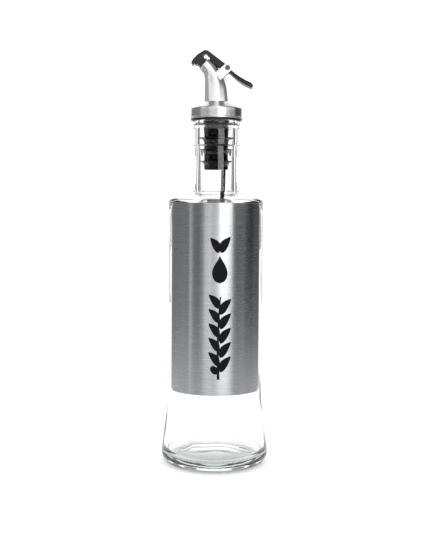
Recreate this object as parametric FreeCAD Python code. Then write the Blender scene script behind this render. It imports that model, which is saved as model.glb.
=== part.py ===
"""Kitchen oil bottle: glass bottle with a curved steel front plate, and a lift-out flip-top pourer.

Millimetres. +Z is up and Z = 0 is the plane the bottle stands on. The bottle's axis is Z.
The pourer's mouth points towards -X and up, and its thumb lever reaches towards +X.
"""
import FreeCAD, Part
import math
import os

V = FreeCAD.Vector
UP = V(0, 0, 1)
HINGE_AXIS = V(0, 1, 0)

# ---- Glass bottle ----
HEEL_EDGE_R = 34.0        # where the flare's line would meet the table
HEEL_ROUND = 6.5
BODY_R = 29.25
FLARE_TOP_Z = 40.0        # the flare runs into the straight body here
FLARE_ROUND = 40.0
SHOULDER_EDGE_Z = 164.15
SHOULDER_ROUND = 3.0
NECK_Z = 168.1            # foot of the neck
NECK_FOOT_R = 14.2
NECK_TOP_R = 13.6
BEAD_R = 14.85
BEAD_LOW_Z = 196.7
BEAD_TOP_Z = 207.2
GROOVE_R = 13.9
LIP_R = 14.7
LIP_LOW_Z = 209.8
LIP_TOP_Z = 211.8
BORE_TOP_R = 10.9
BORE_R = 10.35
BORE_TAPER_TOP_Z = 200.0  # the bore narrows between these two heights
BORE_TAPER_LOW_Z = 190.0
WALL = 3.9
FLOOR_Z = 4.7             # top of the glass floor, near its edge
FLOOR_EDGE_R = 30.2
FLOOR_ROUND = 5.5
FLOOR_CROWN = 0.9         # the floor rises this much to its middle
PUNT_Z = 1.9              # hollow under the bottle, at its centre
PUNT_ROUND = 8.0
LEVEL_R = 5.0             # the floor and the hollow are both flat in the middle
LEVEL_ROUND = 30.0
BEARING_RING_R = 24.8     # inner edge of the ring it stands on

# ---- Steel plate, a curved sheet stuck to the front of the body ----
SHEET = 0.35
FILM = 0.15               # thickness of the adhesive film behind it
PLATE_LOW_Z = 47.1
PLATE_TOP_Z = 161.9
PLATE_HALF_ANGLE = 65.2   # degrees to each side of the front
PLATE_CORNER_R = 1.5
FILM_INSET = 1.5          # from the plate's edges

# ---- Closure ----
WASHER_R = 15.85
WASHER_LOW_Z = LIP_TOP_Z + 0.05
WASHER_TOP_Z = 212.95
FLANGE_R = 15.4
FLANGE_LOW_Z = 213.0
FLANGE_TOP_Z = 215.5
COLLAR_R = 16.1
COLLAR_RIM_Z = 213.0
COLLAR_TOP_Z = 219.6
COLLAR_SHEET = 0.5
DOME_TOP_Z = 223.3
DOME_HOLE_R = 7.8
DOME_FOOT_R = 14.6
COLLAR_RIM_R = 16.4
COLLAR_RIM_HIGH = 0.9

STEM_R = 6.3
STEM_LOW_Z = 182.9        # the stem stands on the stopper's closed foot
STOPPER_R = 7.35
STOPPER_TOP_R = 8.0
STOPPER_LOW_Z = 181.9
STOPPER_TOP_Z = 211.6
FINS = [(201.2, 10.75), (194.0, 10.1), (187.0, 9.6)]   # height and radius of each sealing fin
FIN_EDGE = 0.55           # thickness of a fin at its edge
FIN_ROOT = 0.9            # size of the thickening at a fin's root
FIN_ROOT_DROP = 2.6

POUR_X = -1.9             # axis of the pour channel
POUR_R = 3.3
AIR_X = 4.5               # axis of the air tube
TUBE_R = 1.4
TUBE_BORE_R = 0.8
TUBE_TOP_Z = 206.0
TUBE_KINK_Z = 180.0
TUBE_LOW_Z = 152.0
TUBE_LEAN = 1.6           # degrees towards the axis below the kink
TUBE_BEND_R = 60.0
VENT_R = 0.9
VENT_TOP_Z = 240.0        # the vent comes out on the spout's back, under the bracket

# ---- Spout: centre x, centre z, tilt of the section, half width in X-Z, half width in Y ----
SPOUT_SECTIONS = [
    (-0.12, FLANGE_TOP_Z, 0.0, 7.60, 7.50),
    (-0.15, 222.0, 0.0, 7.50, 7.40),
    (-0.40, 228.3, 0.0, 7.15, 7.05),
    (-1.00, 234.3, 9.5, 6.60, 6.50),
    (-2.90, 240.4, 22.0, 5.16, 5.50),
    (-5.55, 244.1, 38.5, 4.75, 4.85),
    (-7.83, 246.3, 45.0, 4.50, 4.55),
]
SPOUT_FLANGE_R = 13.4
SPOUT_FLANGE_TOP_Z = 218.2
CHANNEL_SECTIONS = [
    (POUR_X, FLANGE_TOP_Z - 1.0, 0.0, POUR_R, POUR_R - 0.02),
    (POUR_X, 222.0, 0.0, POUR_R, POUR_R - 0.02),
    (POUR_X, 229.0, 0.0, POUR_R, POUR_R - 0.02),
    (-1.95, 235.0, 2.0, POUR_R, POUR_R - 0.02),
    (-3.60, 240.9, 24.0, 3.30, 3.25),
    (-5.90, 244.4, 38.5, 3.30, 3.25),
    (-8.53, 247.0, 45.0, 3.35, 3.30),
]
MOUTH = V(-7.83, 0, 246.3)
MOUTH_TILT = 45.0

# ---- Hinge of the flip top ----
PIN = V(6.45, 0, 243.65)
PIN_R = 1.3
PIN_HALF = 5.6
PIN_DIMPLE_R = 0.65
PIN_DIMPLE = 0.6
EAR_OUT = 5.25            # outer faces of the two ears, from the middle
EAR_IN = 3.8
EAR_R = 2.7               # rounded end of an ear, round the pin
EAR_SLOPE = 41.5          # degrees above level, from the spout up to the pin
EAR_LONG = 8.6            # from the pin to the ear's root inside the spout
EAR_ROOT_ROUND = 0.7
HUB_ROOM = 0.7            # between the hub and the block behind it
BEYOND_X = 14.0           # past the bracket on either side
LEVER_LOW_Z = 228.0       # below and above every part of the lever
LEVER_TOP_Z = 258.0
HUB_R = 2.45
HUB_BORE_R = PIN_R + 0.05
HUB_HALF = 3.5
HUB_GAP_HALF = 1.35       # room for the spring between the two hubs
SPRING_ROOM = 0.6         # and round it, outside the hubs' radius

# ---- Spring ----
WIRE_R = 0.25
BEND_BALL_R = 0.3         # the wire is a little fuller at its bends
COIL_R = 2.0
COIL_TURNS = 3.5
COIL_PITCH = 0.54
COIL_STEPS = 8            # points in a turn, joined by arcs
SPOUT_LEG = [V(4.55, -1.0, 239.2), V(6.35, -1.0, 235.0)]
THUMB_LEG = [V(8.3, 1.0, 240.7), V(12.4, 1.0, 237.3)]

# ---- Lever ----
HOOD_HALF = 4.4
ARM_HALF = 3.5
ARM_SKIN = 1.3
THUMB_HALF = 5.0
SEAL_R = 3.5
SEAL_DEEP = 1.6           # depth of the seal's pocket in the hood
SEAL_PROUD = 0.15
SEAL_CLEAR = 0.05         # between the seal and its pocket
HOOD_LIFT = 0.3           # hood's lower face above the mouth
HOOD_BACK_X = -7.4        # the hood narrows to the arm's width here
POCKET_PAST = 1.0         # cutting tools start this far outside what they cut

# Outlines in the X-Z plane: x, z, rounding
HOOD_OUTLINE = [          # hood with its hook, and the arm as far as the hub
    (-15.65, 247.0, 0.8),
    (-14.2, 249.15, 1.5),
    (-12.0, 251.5, 3.0),
    (-6.45, 255.0, 2.8),
    (PIN.x + 1.0, PIN.z + 0.9, 0.4),
    (PIN.x - 1.6, PIN.z - 1.6, 0.3),
    (-0.1, 245.1, 0.6),
    (-4.6, 249.4, 0.4),
    (-3.8, 250.0, 0.4),
    (-6.5, 252.35, 0.5),
    (-8.4, 251.3, 0.6),
    (-7.9, 250.0, 0.6),
    (-6.5, 248.0, 0.3),
    (-10.2, 244.3, 0.3),
    (-11.7, 245.75, 0.3),
    (-13.0, 245.7, 0.4),
    (-13.6, 246.75, 0.3),
    (-14.75, 245.2, 0.45),
]
THUMB_OUTLINE = [         # thumb lever from the hub to its rounded tip
    (PIN.x - 1.0, PIN.z + 1.6, 0.3),
    (8.95, 242.35, 3.0),
    (13.35, 238.85, 20.0),
    (17.4, 236.4, 20.0),
    (20.9, 234.85, 1.0),
    (22.35, 232.95, 0.7),
    (21.5, 231.65, 0.6),
    (16.8, 233.7, 20.0),
    (12.9, 236.3, 20.0),
    (7.8, 240.75, 0.8),
    (PIN.x - 0.4, PIN.z - 2.0, 0.3),
]
ARM_POCKET = [            # hollow inside the arm, above the spout
    (-5.6, 248.0, 0),
    (-5.6, 253.3, 0.5),
    (PIN.x - 1.7, PIN.z + 0.2, 0),
    (PIN.x - 4.0, 240.0, 0),
]
LEG_GROOVE = [            # groove under the thumb lever for the spring's leg
    (7.2, 239.0, 0),
    (7.2, 241.8, 0),
    (8.8, 241.5, 0),
    (13.4, 238.0, 0),
    (13.4, 235.0, 0),
]
LEG_GROOVE_HALF = 0.45
THUMB_PLAN = [            # half of the thumb lever seen from above: x, half width
    (0.0, HUB_HALF),
    (11.0, HUB_HALF),
    (14.5, THUMB_HALF),
    (20.6, THUMB_HALF),
    (22.4, THUMB_HALF - 2.2),
]


def rounded_edges(corners):
    """Edges of a closed outline. A corner is a point and its rounding radius."""
    count = len(corners)
    cuts = []
    for index, (point, radius) in enumerate(corners):
        to_last = (corners[index - 1][0] - point).normalize()
        to_next = (corners[(index + 1) % count][0] - point).normalize()
        if radius <= 0:
            cuts.append((point, None, point))
            continue
        half = to_last.getAngle(to_next) / 2
        run = radius / math.tan(half)
        bisector = (to_last + to_next).normalize()
        middle = point + bisector * (radius / math.sin(half) - radius)
        cuts.append((point + to_last * run, middle, point + to_next * run))
    edges = []
    for index, (start, middle, end) in enumerate(cuts):
        if middle is not None:
            edges.append(Part.Arc(start, middle, end).toShape())
        following = cuts[(index + 1) % count][0]
        if (following - end).Length > 1e-6:
            edges.append(Part.makeLine(end, following))
    return edges


def face_xz(corners):
    """Flat face in the X-Z plane from (x, z, rounding) corners."""
    points = [(V(x, 0, z), radius) for x, z, radius in corners]
    return Part.Face(Part.Wire(rounded_edges(points)))


def turned(corners):
    """Solid of revolution about Z from (radius, z, rounding) corners."""
    return face_xz(corners).revolve(V(0, 0, 0), UP, 360)


def plate(corners, low_y, high_y):
    """Plate standing in the X-Z plane between two Y values."""
    face = face_xz(corners)
    face.translate(V(0, low_y, 0))
    return face.extrude(V(0, high_y - low_y, 0))


def box(low, high):
    size = [b - a for a, b in zip(low, high)]
    return Part.makeBox(size[0], size[1], size[2], V(*low))


def rod_y(radius, low_y, high_y, centre=PIN):
    """Round bar along Y through a point."""
    return Part.makeCylinder(radius, high_y - low_y, V(centre.x, low_y, centre.z), HINGE_AXIS)


def rod_z(radius, x, low_z, high_z):
    return Part.makeCylinder(radius, high_z - low_z, V(x, 0, low_z), UP)


def section(x, z, tilt, half_x, half_y):
    """Closed elliptical section, tilted from level towards -X by tilt degrees."""
    ellipse = Part.Ellipse(V(0, 0, 0), max(half_x, half_y), min(half_x, half_y))
    wire = Part.Wire(ellipse.toShape())
    if half_y > half_x:
        wire.rotate(V(0, 0, 0), UP, 90)
    wire.rotate(V(0, 0, 0), HINGE_AXIS, -tilt)
    wire.translate(V(x, 0, z))
    return wire


def loft(sections):
    return Part.makeLoft([section(*values) for values in sections], True, False)


def mouth_axis():
    """Unit vector out of the spout's mouth."""
    angle = math.radians(MOUTH_TILT)
    return V(-math.sin(angle), 0, math.cos(angle))


def make_glass_bottle():
    """One wall from the hollow under the base, up the outside, and down the inside."""
    return turned([
        (0, PUNT_Z, 0),
        (LEVEL_R, PUNT_Z, LEVEL_ROUND),
        (BEARING_RING_R, 0, PUNT_ROUND),
        (HEEL_EDGE_R, 0, HEEL_ROUND),
        (BODY_R, FLARE_TOP_Z, FLARE_ROUND),
        (BODY_R, SHOULDER_EDGE_Z, SHOULDER_ROUND),
        (NECK_FOOT_R, NECK_Z, 1.6),
        (NECK_TOP_R, BEAD_LOW_Z - 0.3, 0.4),
        (BEAD_R, BEAD_LOW_Z, 0.6),
        (BEAD_R, BEAD_TOP_Z, 0.8),
        (GROOVE_R, (BEAD_TOP_Z + LIP_LOW_Z) / 2, 0.4),
        (LIP_R, LIP_LOW_Z, 0.6),
        (LIP_R, LIP_TOP_Z, 0.8),
        (BORE_TOP_R, LIP_TOP_Z, 0.8),
        (BORE_TOP_R, BORE_TAPER_TOP_Z, 10.0),
        (BORE_R, BORE_TAPER_LOW_Z, 10.0),
        (BORE_R, SHOULDER_EDGE_Z + 1.3, 5.0),
        (BODY_R - WALL, SHOULDER_EDGE_Z - 2.6, 6.0),
        (BODY_R - WALL, FLARE_TOP_Z + 4.0, FLARE_ROUND),
        (FLOOR_EDGE_R, FLOOR_Z, FLOOR_ROUND),
        (LEVEL_R, FLOOR_Z + FLOOR_CROWN, LEVEL_ROUND),
        (0, FLOOR_Z + FLOOR_CROWN, 0),
    ])


def bent_sheet(inner_r, thickness, inset, corner_r):
    """Round-cornered sheet bent to the body, with its edges inset from the plate's outline."""
    outer_r = inner_r + thickness
    low_z = PLATE_LOW_Z + inset
    top_z = PLATE_TOP_Z - inset
    ring = turned([(inner_r, low_z, 0), (outer_r, low_z, 0), (outer_r, top_z, 0), (inner_r, top_z, 0)])
    half = (BODY_R + FILM) * math.sin(math.radians(PLATE_HALF_ANGLE)) - inset
    outline = [(-half, low_z, corner_r), (half, low_z, corner_r), (half, top_z, corner_r), (-half, top_z, corner_r)]
    return ring.common(plate(outline, -outer_r - 1, 0))


def make_steel_plate():
    return bent_sheet(BODY_R + FILM, SHEET, 0, PLATE_CORNER_R)


def make_adhesive_film():
    return bent_sheet(BODY_R, FILM, FILM_INSET, PLATE_CORNER_R)


def make_collar_cap():
    """Spun steel shell with a rolled rim and a low dome round the spout."""
    inner_r = COLLAR_R - COLLAR_SHEET
    return turned([
        (inner_r, COLLAR_RIM_Z, 0.2),
        (COLLAR_RIM_R, COLLAR_RIM_Z, 0.35),
        (COLLAR_RIM_R, COLLAR_RIM_Z + COLLAR_RIM_HIGH, 0.35),
        (COLLAR_R, COLLAR_RIM_Z + COLLAR_RIM_HIGH + 0.1, 0.1),
        (COLLAR_R, COLLAR_TOP_Z, 0.9),
        (DOME_FOOT_R, COLLAR_TOP_Z + 0.25, 3.0),
        (DOME_HOLE_R + 1.0, DOME_TOP_Z, 1.6),
        (DOME_HOLE_R, DOME_TOP_Z + 0.1, 0.1),
        (DOME_HOLE_R, DOME_TOP_Z - COLLAR_SHEET, 0.1),
        (DOME_HOLE_R + 0.8, DOME_TOP_Z - COLLAR_SHEET - 0.1, 1.0),
        (DOME_FOOT_R - 0.2, COLLAR_TOP_Z - COLLAR_SHEET + 0.2, 2.4),
        (inner_r, COLLAR_TOP_Z - COLLAR_SHEET, 0.4),
    ])


def make_sealing_washer():
    hole_r = STOPPER_TOP_R + 0.3
    return turned([
        (hole_r, WASHER_LOW_Z, 0),
        (WASHER_R, WASHER_LOW_Z, 0.3),
        (WASHER_R, WASHER_TOP_Z, 0.3),
        (hole_r, WASHER_TOP_Z, 0),
    ])


def pour_bore():
    """Straight part of the pour channel, from below the stopper to above the flange."""
    return rod_z(POUR_R, POUR_X, STOPPER_LOW_Z - 1, FLANGE_TOP_Z + 1)


def tube_seat():
    """Hole that holds the air tube, from below the stopper to the tube's top."""
    return rod_z(TUBE_R, AIR_X, STOPPER_LOW_Z - 1, TUBE_TOP_Z)


def make_plug_core():
    """Hard stem with a flange, drilled for the pour channel and the air tube."""
    core = turned([
        (0, STEM_LOW_Z, 0),
        (STEM_R, STEM_LOW_Z, 0.3),
        (STEM_R, FLANGE_LOW_Z, 0),
        (FLANGE_R, FLANGE_LOW_Z, 0.2),
        (FLANGE_R, FLANGE_TOP_Z, 0.4),
        (0, FLANGE_TOP_Z, 0),
    ])
    air = rod_z(VENT_R, AIR_X, TUBE_TOP_Z, FLANGE_TOP_Z + 1)
    return core.cut([pour_bore(), tube_seat(), air])


def make_ribbed_stopper():
    """Soft cup on the stem. Its foot has two holes, and each fin is thin at its edge."""
    corners = [
        (0, STOPPER_LOW_Z, 0),
        (STOPPER_R, STOPPER_LOW_Z, 0.4),
    ]
    for z, radius in reversed(FINS):
        corners += [
            (STOPPER_R, z - FIN_ROOT_DROP, 0),
            (STOPPER_R + FIN_ROOT, z - FIN_ROOT, 0),
            (radius, z - FIN_EDGE / 2, 0),
            (radius, z + FIN_EDGE / 2, 0),
            (STOPPER_R, z + FIN_EDGE, 0),
        ]
    corners += [
        (STOPPER_TOP_R, STOPPER_TOP_Z, 0.2),
        (STEM_R, STOPPER_TOP_Z, 0),
        (STEM_R, STEM_LOW_Z, 0),
        (0, STEM_LOW_Z, 0),
    ]
    return turned(corners).cut([pour_bore(), tube_seat()])


def make_air_tube():
    """Straight in the stem, then leaning slightly towards the axis."""
    lean = math.radians(TUBE_LEAN)
    down = V(-math.sin(lean), 0, -math.cos(lean))
    kink = V(AIR_X, 0, TUBE_KINK_Z)
    run = TUBE_BEND_R * math.tan(lean / 2)
    start = V(AIR_X, 0, TUBE_TOP_Z)
    bend_in = kink + UP * run
    bend_out = kink + down * run
    end = kink + down * ((TUBE_KINK_Z - TUBE_LOW_Z) / math.cos(lean))
    centre = bend_in - V(TUBE_BEND_R, 0, 0)
    half = lean / 2
    middle = centre + V(math.cos(half), 0, -math.sin(half)) * TUBE_BEND_R
    path = Part.Wire([
        Part.makeLine(start, bend_in),
        Part.Arc(bend_in, middle, bend_out).toShape(),
        Part.makeLine(bend_out, end),
    ])
    outside = Part.Wire(Part.makeCircle(TUBE_R, start, UP))
    inside = Part.Wire(Part.makeCircle(TUBE_BORE_R, start, UP))
    return path.makePipeShell([outside], True, True).cut(path.makePipeShell([inside], True, True))


def make_bracket():
    """Block on the back of the spout that ends in two ears for the pivot pin."""
    slope = math.radians(EAR_SLOPE)
    along = V(math.cos(slope), 0, math.sin(slope))
    across = V(-math.sin(slope), 0, math.cos(slope)) * EAR_R
    end = PIN + along * EAR_R
    root = PIN - along * EAR_LONG
    round_end = EAR_R - 0.01
    ends = [
        (end + across, round_end),
        (end - across, round_end),
        (root - across, EAR_ROOT_ROUND),
        (root + across, EAR_ROOT_ROUND),
    ]
    block = plate([(point.x, point.z, radius) for point, radius in ends], -EAR_OUT, EAR_OUT)
    beside_hub = box((PIN.x - HUB_R - HUB_ROOM, -EAR_IN, LEVER_LOW_Z), (BEYOND_X, EAR_IN, LEVER_TOP_Z))
    under_arm = box((-BEYOND_X, -EAR_IN, PIN.z - 1.0), (BEYOND_X, EAR_IN, LEVER_TOP_Z))
    return block.cut([beside_hub, under_arm])


def make_spout():
    """Bent tapering tube on a flange, with the hinge bracket moulded on its back."""
    flange = rod_z(SPOUT_FLANGE_R, 0, FLANGE_TOP_Z, SPOUT_FLANGE_TOP_Z)
    body = loft(SPOUT_SECTIONS).fuse([flange, make_bracket()])
    vent = rod_z(VENT_R, AIR_X, FLANGE_TOP_Z - 1, VENT_TOP_Z)
    pin_hole = rod_y(PIN_R, -PIN_HALF - 1, PIN_HALF + 1)
    return body.cut([loft(CHANNEL_SECTIONS), vent, pin_hole])


def make_pivot_pin():
    """Pin pressed into the ears, dimpled at both ends."""
    pin = rod_y(PIN_R, -PIN_HALF, PIN_HALF)
    front = rod_y(PIN_DIMPLE_R, -PIN_HALF - 1, -PIN_HALF + PIN_DIMPLE)
    back = rod_y(PIN_DIMPLE_R, PIN_HALF - PIN_DIMPLE, PIN_HALF + 1)
    return pin.cut([front, back])


def wire_leg(points):
    """Rods of wire through points, with a ball at each one."""
    balls = [Part.makeSphere(BEND_BALL_R, point) for point in points]
    rods = []
    for start, end in zip(points, points[1:]):
        rods.append(Part.makeCylinder(WIRE_R, (end - start).Length, start, end - start))
    return rods + balls


def make_torsion_spring():
    """Coil on the pivot pin, one leg down the spout's back, one under the thumb lever."""
    points = []
    for index in range(int(COIL_TURNS * COIL_STEPS) + 1):
        turns = index / COIL_STEPS
        angle = math.pi + 2 * math.pi * turns
        y = (turns - COIL_TURNS / 2) * COIL_PITCH
        points.append(PIN + V(COIL_R * math.cos(angle), y, COIL_R * math.sin(angle)))
    arcs = [Part.Arc(*points[index:index + 3]).toShape() for index in range(0, len(points) - 2, 2)]
    circle = Part.makeCircle(WIRE_R, points[0], arcs[0].tangentAt(arcs[0].FirstParameter))
    coil = Part.Wire(arcs).makePipeShell([Part.Wire(circle)], True, True)
    spout_leg = wire_leg([points[0]] + SPOUT_LEG)
    thumb_leg = wire_leg([points[-1]] + THUMB_LEG)
    return coil.fuse(spout_leg + thumb_leg)


def make_thumb():
    """Thumb lever, as narrow as the hub at its root and flared further out."""
    blade = plate(THUMB_OUTLINE, -THUMB_HALF, THUMB_HALF)
    near = [V(x, -half, LEVER_LOW_Z) for x, half in THUMB_PLAN]
    far = [V(x, half, LEVER_LOW_Z) for x, half in reversed(THUMB_PLAN)]
    plan = Part.Face(Part.makePolygon(near + far + near[:1]))
    return blade.common(plan.extrude(UP * (LEVER_TOP_Z - LEVER_LOW_Z)))


def seal_pocket(radius, start, depth):
    """Round bar along the mouth's axis, from start above the mouth's plane."""
    return Part.makeCylinder(radius, depth, MOUTH + mouth_axis() * start, mouth_axis())


def make_lever_cap():
    """Hood, arm, two hubs and thumb lever in one moulding."""
    head = plate(HOOD_OUTLINE, -HOOD_HALF, HOOD_HALF)
    for side in (-1, 1):
        inner, outer = sorted((side * ARM_HALF, side * (HOOD_HALF + 1)))
        head = head.cut(box((HOOD_BACK_X, inner, LEVER_LOW_Z), (BEYOND_X, outer, LEVER_TOP_Z)))
    hub = rod_y(HUB_R, -HUB_HALF, HUB_HALF)
    lever = head.fuse([hub, make_thumb()])
    bore = rod_y(HUB_BORE_R, -HUB_HALF - 1, HUB_HALF + 1)
    spring_room = rod_y(HUB_R + SPRING_ROOM, -HUB_GAP_HALF, HUB_GAP_HALF)
    arm_pocket = plate(ARM_POCKET, -ARM_HALF + ARM_SKIN, ARM_HALF - ARM_SKIN)
    leg_y = THUMB_LEG[0].y
    leg_groove = plate(LEG_GROOVE, leg_y - LEG_GROOVE_HALF, leg_y + LEG_GROOVE_HALF)
    pocket = seal_pocket(SEAL_R, HOOD_LIFT - POCKET_PAST, SEAL_DEEP + POCKET_PAST)
    return lever.cut([bore, spring_room, arm_pocket, leg_groove, pocket]).removeSplitter()


def make_mouth_seal():
    """Soft pad in the hood that closes the mouth."""
    start = HOOD_LIFT - SEAL_PROUD
    return seal_pocket(SEAL_R - SEAL_CLEAR, start, SEAL_DEEP + SEAL_PROUD - SEAL_CLEAR)


NODES = {
    "glass_bottle": make_glass_bottle,
    "steel_plate": make_steel_plate,
    "adhesive_film": make_adhesive_film,
    "sealing_washer": make_sealing_washer,
    "ribbed_stopper": make_ribbed_stopper,
    "plug_core": make_plug_core,
    "air_tube": make_air_tube,
    "collar_cap": make_collar_cap,
    "spout": make_spout,
    "pivot_pin": make_pivot_pin,
    "torsion_spring": make_torsion_spring,
    "lever_cap": make_lever_cap,
    "mouth_seal": make_mouth_seal,
}

os.makedirs("parts", exist_ok=True)
for node, make in NODES.items():
    shape = make()
    print(node, len(shape.Solids), "solid", shape.isValid(), round(shape.Volume, 1), "mm3")
    shape.exportStep(f"parts/{node}.step")
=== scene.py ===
import math
import bmesh
import bpy
from mathutils import Matrix, Vector, noise


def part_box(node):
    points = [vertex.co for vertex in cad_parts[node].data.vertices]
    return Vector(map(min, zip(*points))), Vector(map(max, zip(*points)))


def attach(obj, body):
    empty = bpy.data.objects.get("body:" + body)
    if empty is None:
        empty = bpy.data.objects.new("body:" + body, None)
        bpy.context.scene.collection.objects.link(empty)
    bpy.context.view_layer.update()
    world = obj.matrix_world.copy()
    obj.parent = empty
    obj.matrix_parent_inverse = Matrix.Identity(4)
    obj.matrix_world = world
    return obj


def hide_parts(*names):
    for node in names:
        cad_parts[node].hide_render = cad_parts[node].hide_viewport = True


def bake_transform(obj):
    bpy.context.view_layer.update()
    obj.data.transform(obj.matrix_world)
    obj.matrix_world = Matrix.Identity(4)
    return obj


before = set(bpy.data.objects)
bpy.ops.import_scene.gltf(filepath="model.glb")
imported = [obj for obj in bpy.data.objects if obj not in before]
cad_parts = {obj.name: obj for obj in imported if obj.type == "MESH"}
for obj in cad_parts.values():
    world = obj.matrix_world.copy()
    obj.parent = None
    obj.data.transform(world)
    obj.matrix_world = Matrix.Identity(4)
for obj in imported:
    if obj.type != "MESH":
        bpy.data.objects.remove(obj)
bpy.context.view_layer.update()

MM = 0.001
TURN = 2 * math.pi


def box_mm(node):
    """Lowest and highest corner of a CAD node, in millimetres."""
    low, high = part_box(node)
    return low / MM, high / MM


# ---- Places taken from the frame ----
GLASS_TOP_Z = box_mm("glass_bottle")[1].z
PLATE_LOW, PLATE_HIGH = box_mm("steel_plate")
WASHER_LOW, WASHER_HIGH = box_mm("sealing_washer")
STOPPER_LOW, STOPPER_HIGH = box_mm("ribbed_stopper")
COLLAR_LOW, COLLAR_HIGH = box_mm("collar_cap")
SPOUT_LOW_Z = box_mm("spout")[0].z
PIN_LOW, PIN_HIGH = box_mm("pivot_pin")
TUBE_LOW, TUBE_HIGH = box_mm("air_tube")
PIN = (PIN_LOW + PIN_HIGH) / 2
PIN_R = (PIN_HIGH.x - PIN_LOW.x) / 2

# ---- Sizes of the visual pieces, mm ----
PLATE_R = -PLATE_LOW.y          # outer face of the plate
SHEET = 0.35                    # steel
FILM = 0.15                     # adhesive under it
BODY_R = PLATE_R - SHEET - FILM
WALL = 3.9
HEEL_TOP_Z = 40.0
PRINT_LOW, PRINT_HIGH = 0.004, 0.03   # ink, off the plate's face
MOUTH_X, MOUTH_Z = -7.83, 246.3
MOUTH_TILT = 45.0
CHANNEL_X = -1.9                # pour channel's axis in the plug
CHANNEL_R = 3.3
TUBE_R = 1.4


# ---------------------------------------------------------------- outlines

def rounded(corners, arc_step=9.0, longest=None):
    """Points of a closed outline from (a, b, rounding) corners, with arcs and split straight runs."""
    points = []
    count = len(corners)
    for index, (a, b, radius) in enumerate(corners):
        corner = Vector((a, b))
        if radius <= 0:
            points.append(corner)
            continue
        to_last = (Vector(corners[index - 1][:2]) - corner).normalized()
        to_next = (Vector(corners[(index + 1) % count][:2]) - corner).normalized()
        angle = to_last.angle(to_next)
        centre = corner + (to_last + to_next).normalized() * (radius / math.sin(angle / 2))
        run = radius / math.tan(angle / 2)
        arm = corner + to_last * run - centre
        last_arm = corner + to_next * run - centre
        turn = math.atan2(arm.cross(last_arm), arm.dot(last_arm))
        steps = max(2, math.ceil(abs(math.degrees(turn)) / arc_step))
        for step in range(steps + 1):
            points.append(centre + Matrix.Rotation(turn * step / steps, 2) @ arm)
    if longest is None:
        return points
    split = []
    for index, start in enumerate(points):
        split.append(start)
        end = points[(index + 1) % len(points)]
        parts = math.ceil((end - start).length / longest)
        split += [start.lerp(end, part / parts) for part in range(1, parts)]
    return split


# ---------------------------------------------------------------- meshes

def finish_mesh(name, bm, sharp=35.0):
    """Object in metres from a bmesh in millimetres, smooth apart from its sharp edges."""
    bmesh.ops.remove_doubles(bm, verts=bm.verts, dist=1e-5)
    bmesh.ops.recalc_face_normals(bm, faces=bm.faces)
    bmesh.ops.scale(bm, vec=(MM, MM, MM), verts=bm.verts)
    mesh = bpy.data.meshes.new(name)
    bm.to_mesh(mesh)
    bm.free()
    mesh.shade_smooth()
    mesh.set_sharp_from_angle(angle=math.radians(sharp))
    piece = bpy.data.objects.new(name, mesh)
    bpy.context.scene.collection.objects.link(piece)
    return piece


def circle(radius, segments=64):
    """Points of a circle round the origin."""
    return [(radius * math.cos(TURN * k / segments), radius * math.sin(TURN * k / segments))
            for k in range(segments)]


def grid_faces(bm, rows):
    """Faces over a grid of vertices."""
    for row, following in zip(rows, rows[1:]):
        for k in range(len(row) - 1):
            bm.faces.new((row[k], following[k], following[k + 1], row[k + 1]))


def band_faces(bm, first, second):
    """Faces between two closed rings of vertices."""
    for k in range(len(first)):
        after = (k + 1) % len(first)
        bm.faces.new((first[k], first[after], second[after], second[k]))


def turned(outline, segments=128, shape=None):
    """Bmesh of a closed outline of (radius, z) turned about Z. shape(radius, z, angle) moves the radius."""
    bm = bmesh.new()
    rings = []
    for radius, z in outline:
        row = []
        for index in range(segments if radius > 1e-6 else 1):
            angle = math.radians(360.0 * index / segments)
            r = shape(radius, z, angle) if shape else radius
            row.append(bm.verts.new((r * math.cos(angle), r * math.sin(angle), z)))
        rings.append(row)
    for low, high in zip(rings, rings[1:] + rings[:1]):
        if len(low) == 1 and len(high) == 1:
            continue
        for index in range(segments):
            after = (index + 1) % segments
            corners = [low[index % len(low)], low[after % len(low)],
                       high[after % len(high)], high[index % len(high)]]
            bm.faces.new(list(dict.fromkeys(corners)))
    return bm


def plate(outline, low_y, high_y):
    """Bmesh of an X-Z outline standing between two Y values."""
    bm = bmesh.new()
    near = [bm.verts.new((x, low_y, z)) for x, z in outline]
    far = [bm.verts.new((x, high_y, z)) for x, z in outline]
    bm.faces.new(near)
    bm.faces.new(list(reversed(far)))
    count = len(outline)
    for index in range(count):
        after = (index + 1) % count
        bm.faces.new([near[after], near[index], far[index], far[after]])
    bmesh.ops.recalc_face_normals(bm, faces=bm.faces)
    return bm


def tube_rings(rings, closed_ends=True):
    """Bmesh skin over rings of points that all have the same count."""
    bm = bmesh.new()
    made = [[bm.verts.new(point) for point in row] for row in rings]
    for low, high in zip(made, made[1:]):
        band_faces(bm, low, high)
    if closed_ends:
        bm.faces.new(list(reversed(made[0])))
        bm.faces.new(made[-1])
    else:
        band_faces(bm, made[-1], made[0])
    bmesh.ops.recalc_face_normals(bm, faces=bm.faces)
    return bm


def box(low, high):
    """Bmesh of the block between two corners."""
    outline = [(low[0], low[2]), (high[0], low[2]), (high[0], high[2]), (low[0], high[2])]
    return plate(outline, low[1], high[1])


def prism_z(outline, low_z, high_z):
    """Bmesh of an X-Y outline standing between two heights."""
    return tube_rings([[Vector((x, y, z)) for x, y in outline] for z in (low_z, high_z)])


def rod_y(radius, low_y, high_y, x, z):
    return plate([(x + a, z + b) for a, b in circle(radius)], low_y, high_y)


def rod_z(radius, x, low_z, high_z):
    return prism_z([(x + a, b) for a, b in circle(radius)], low_z, high_z)


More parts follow.
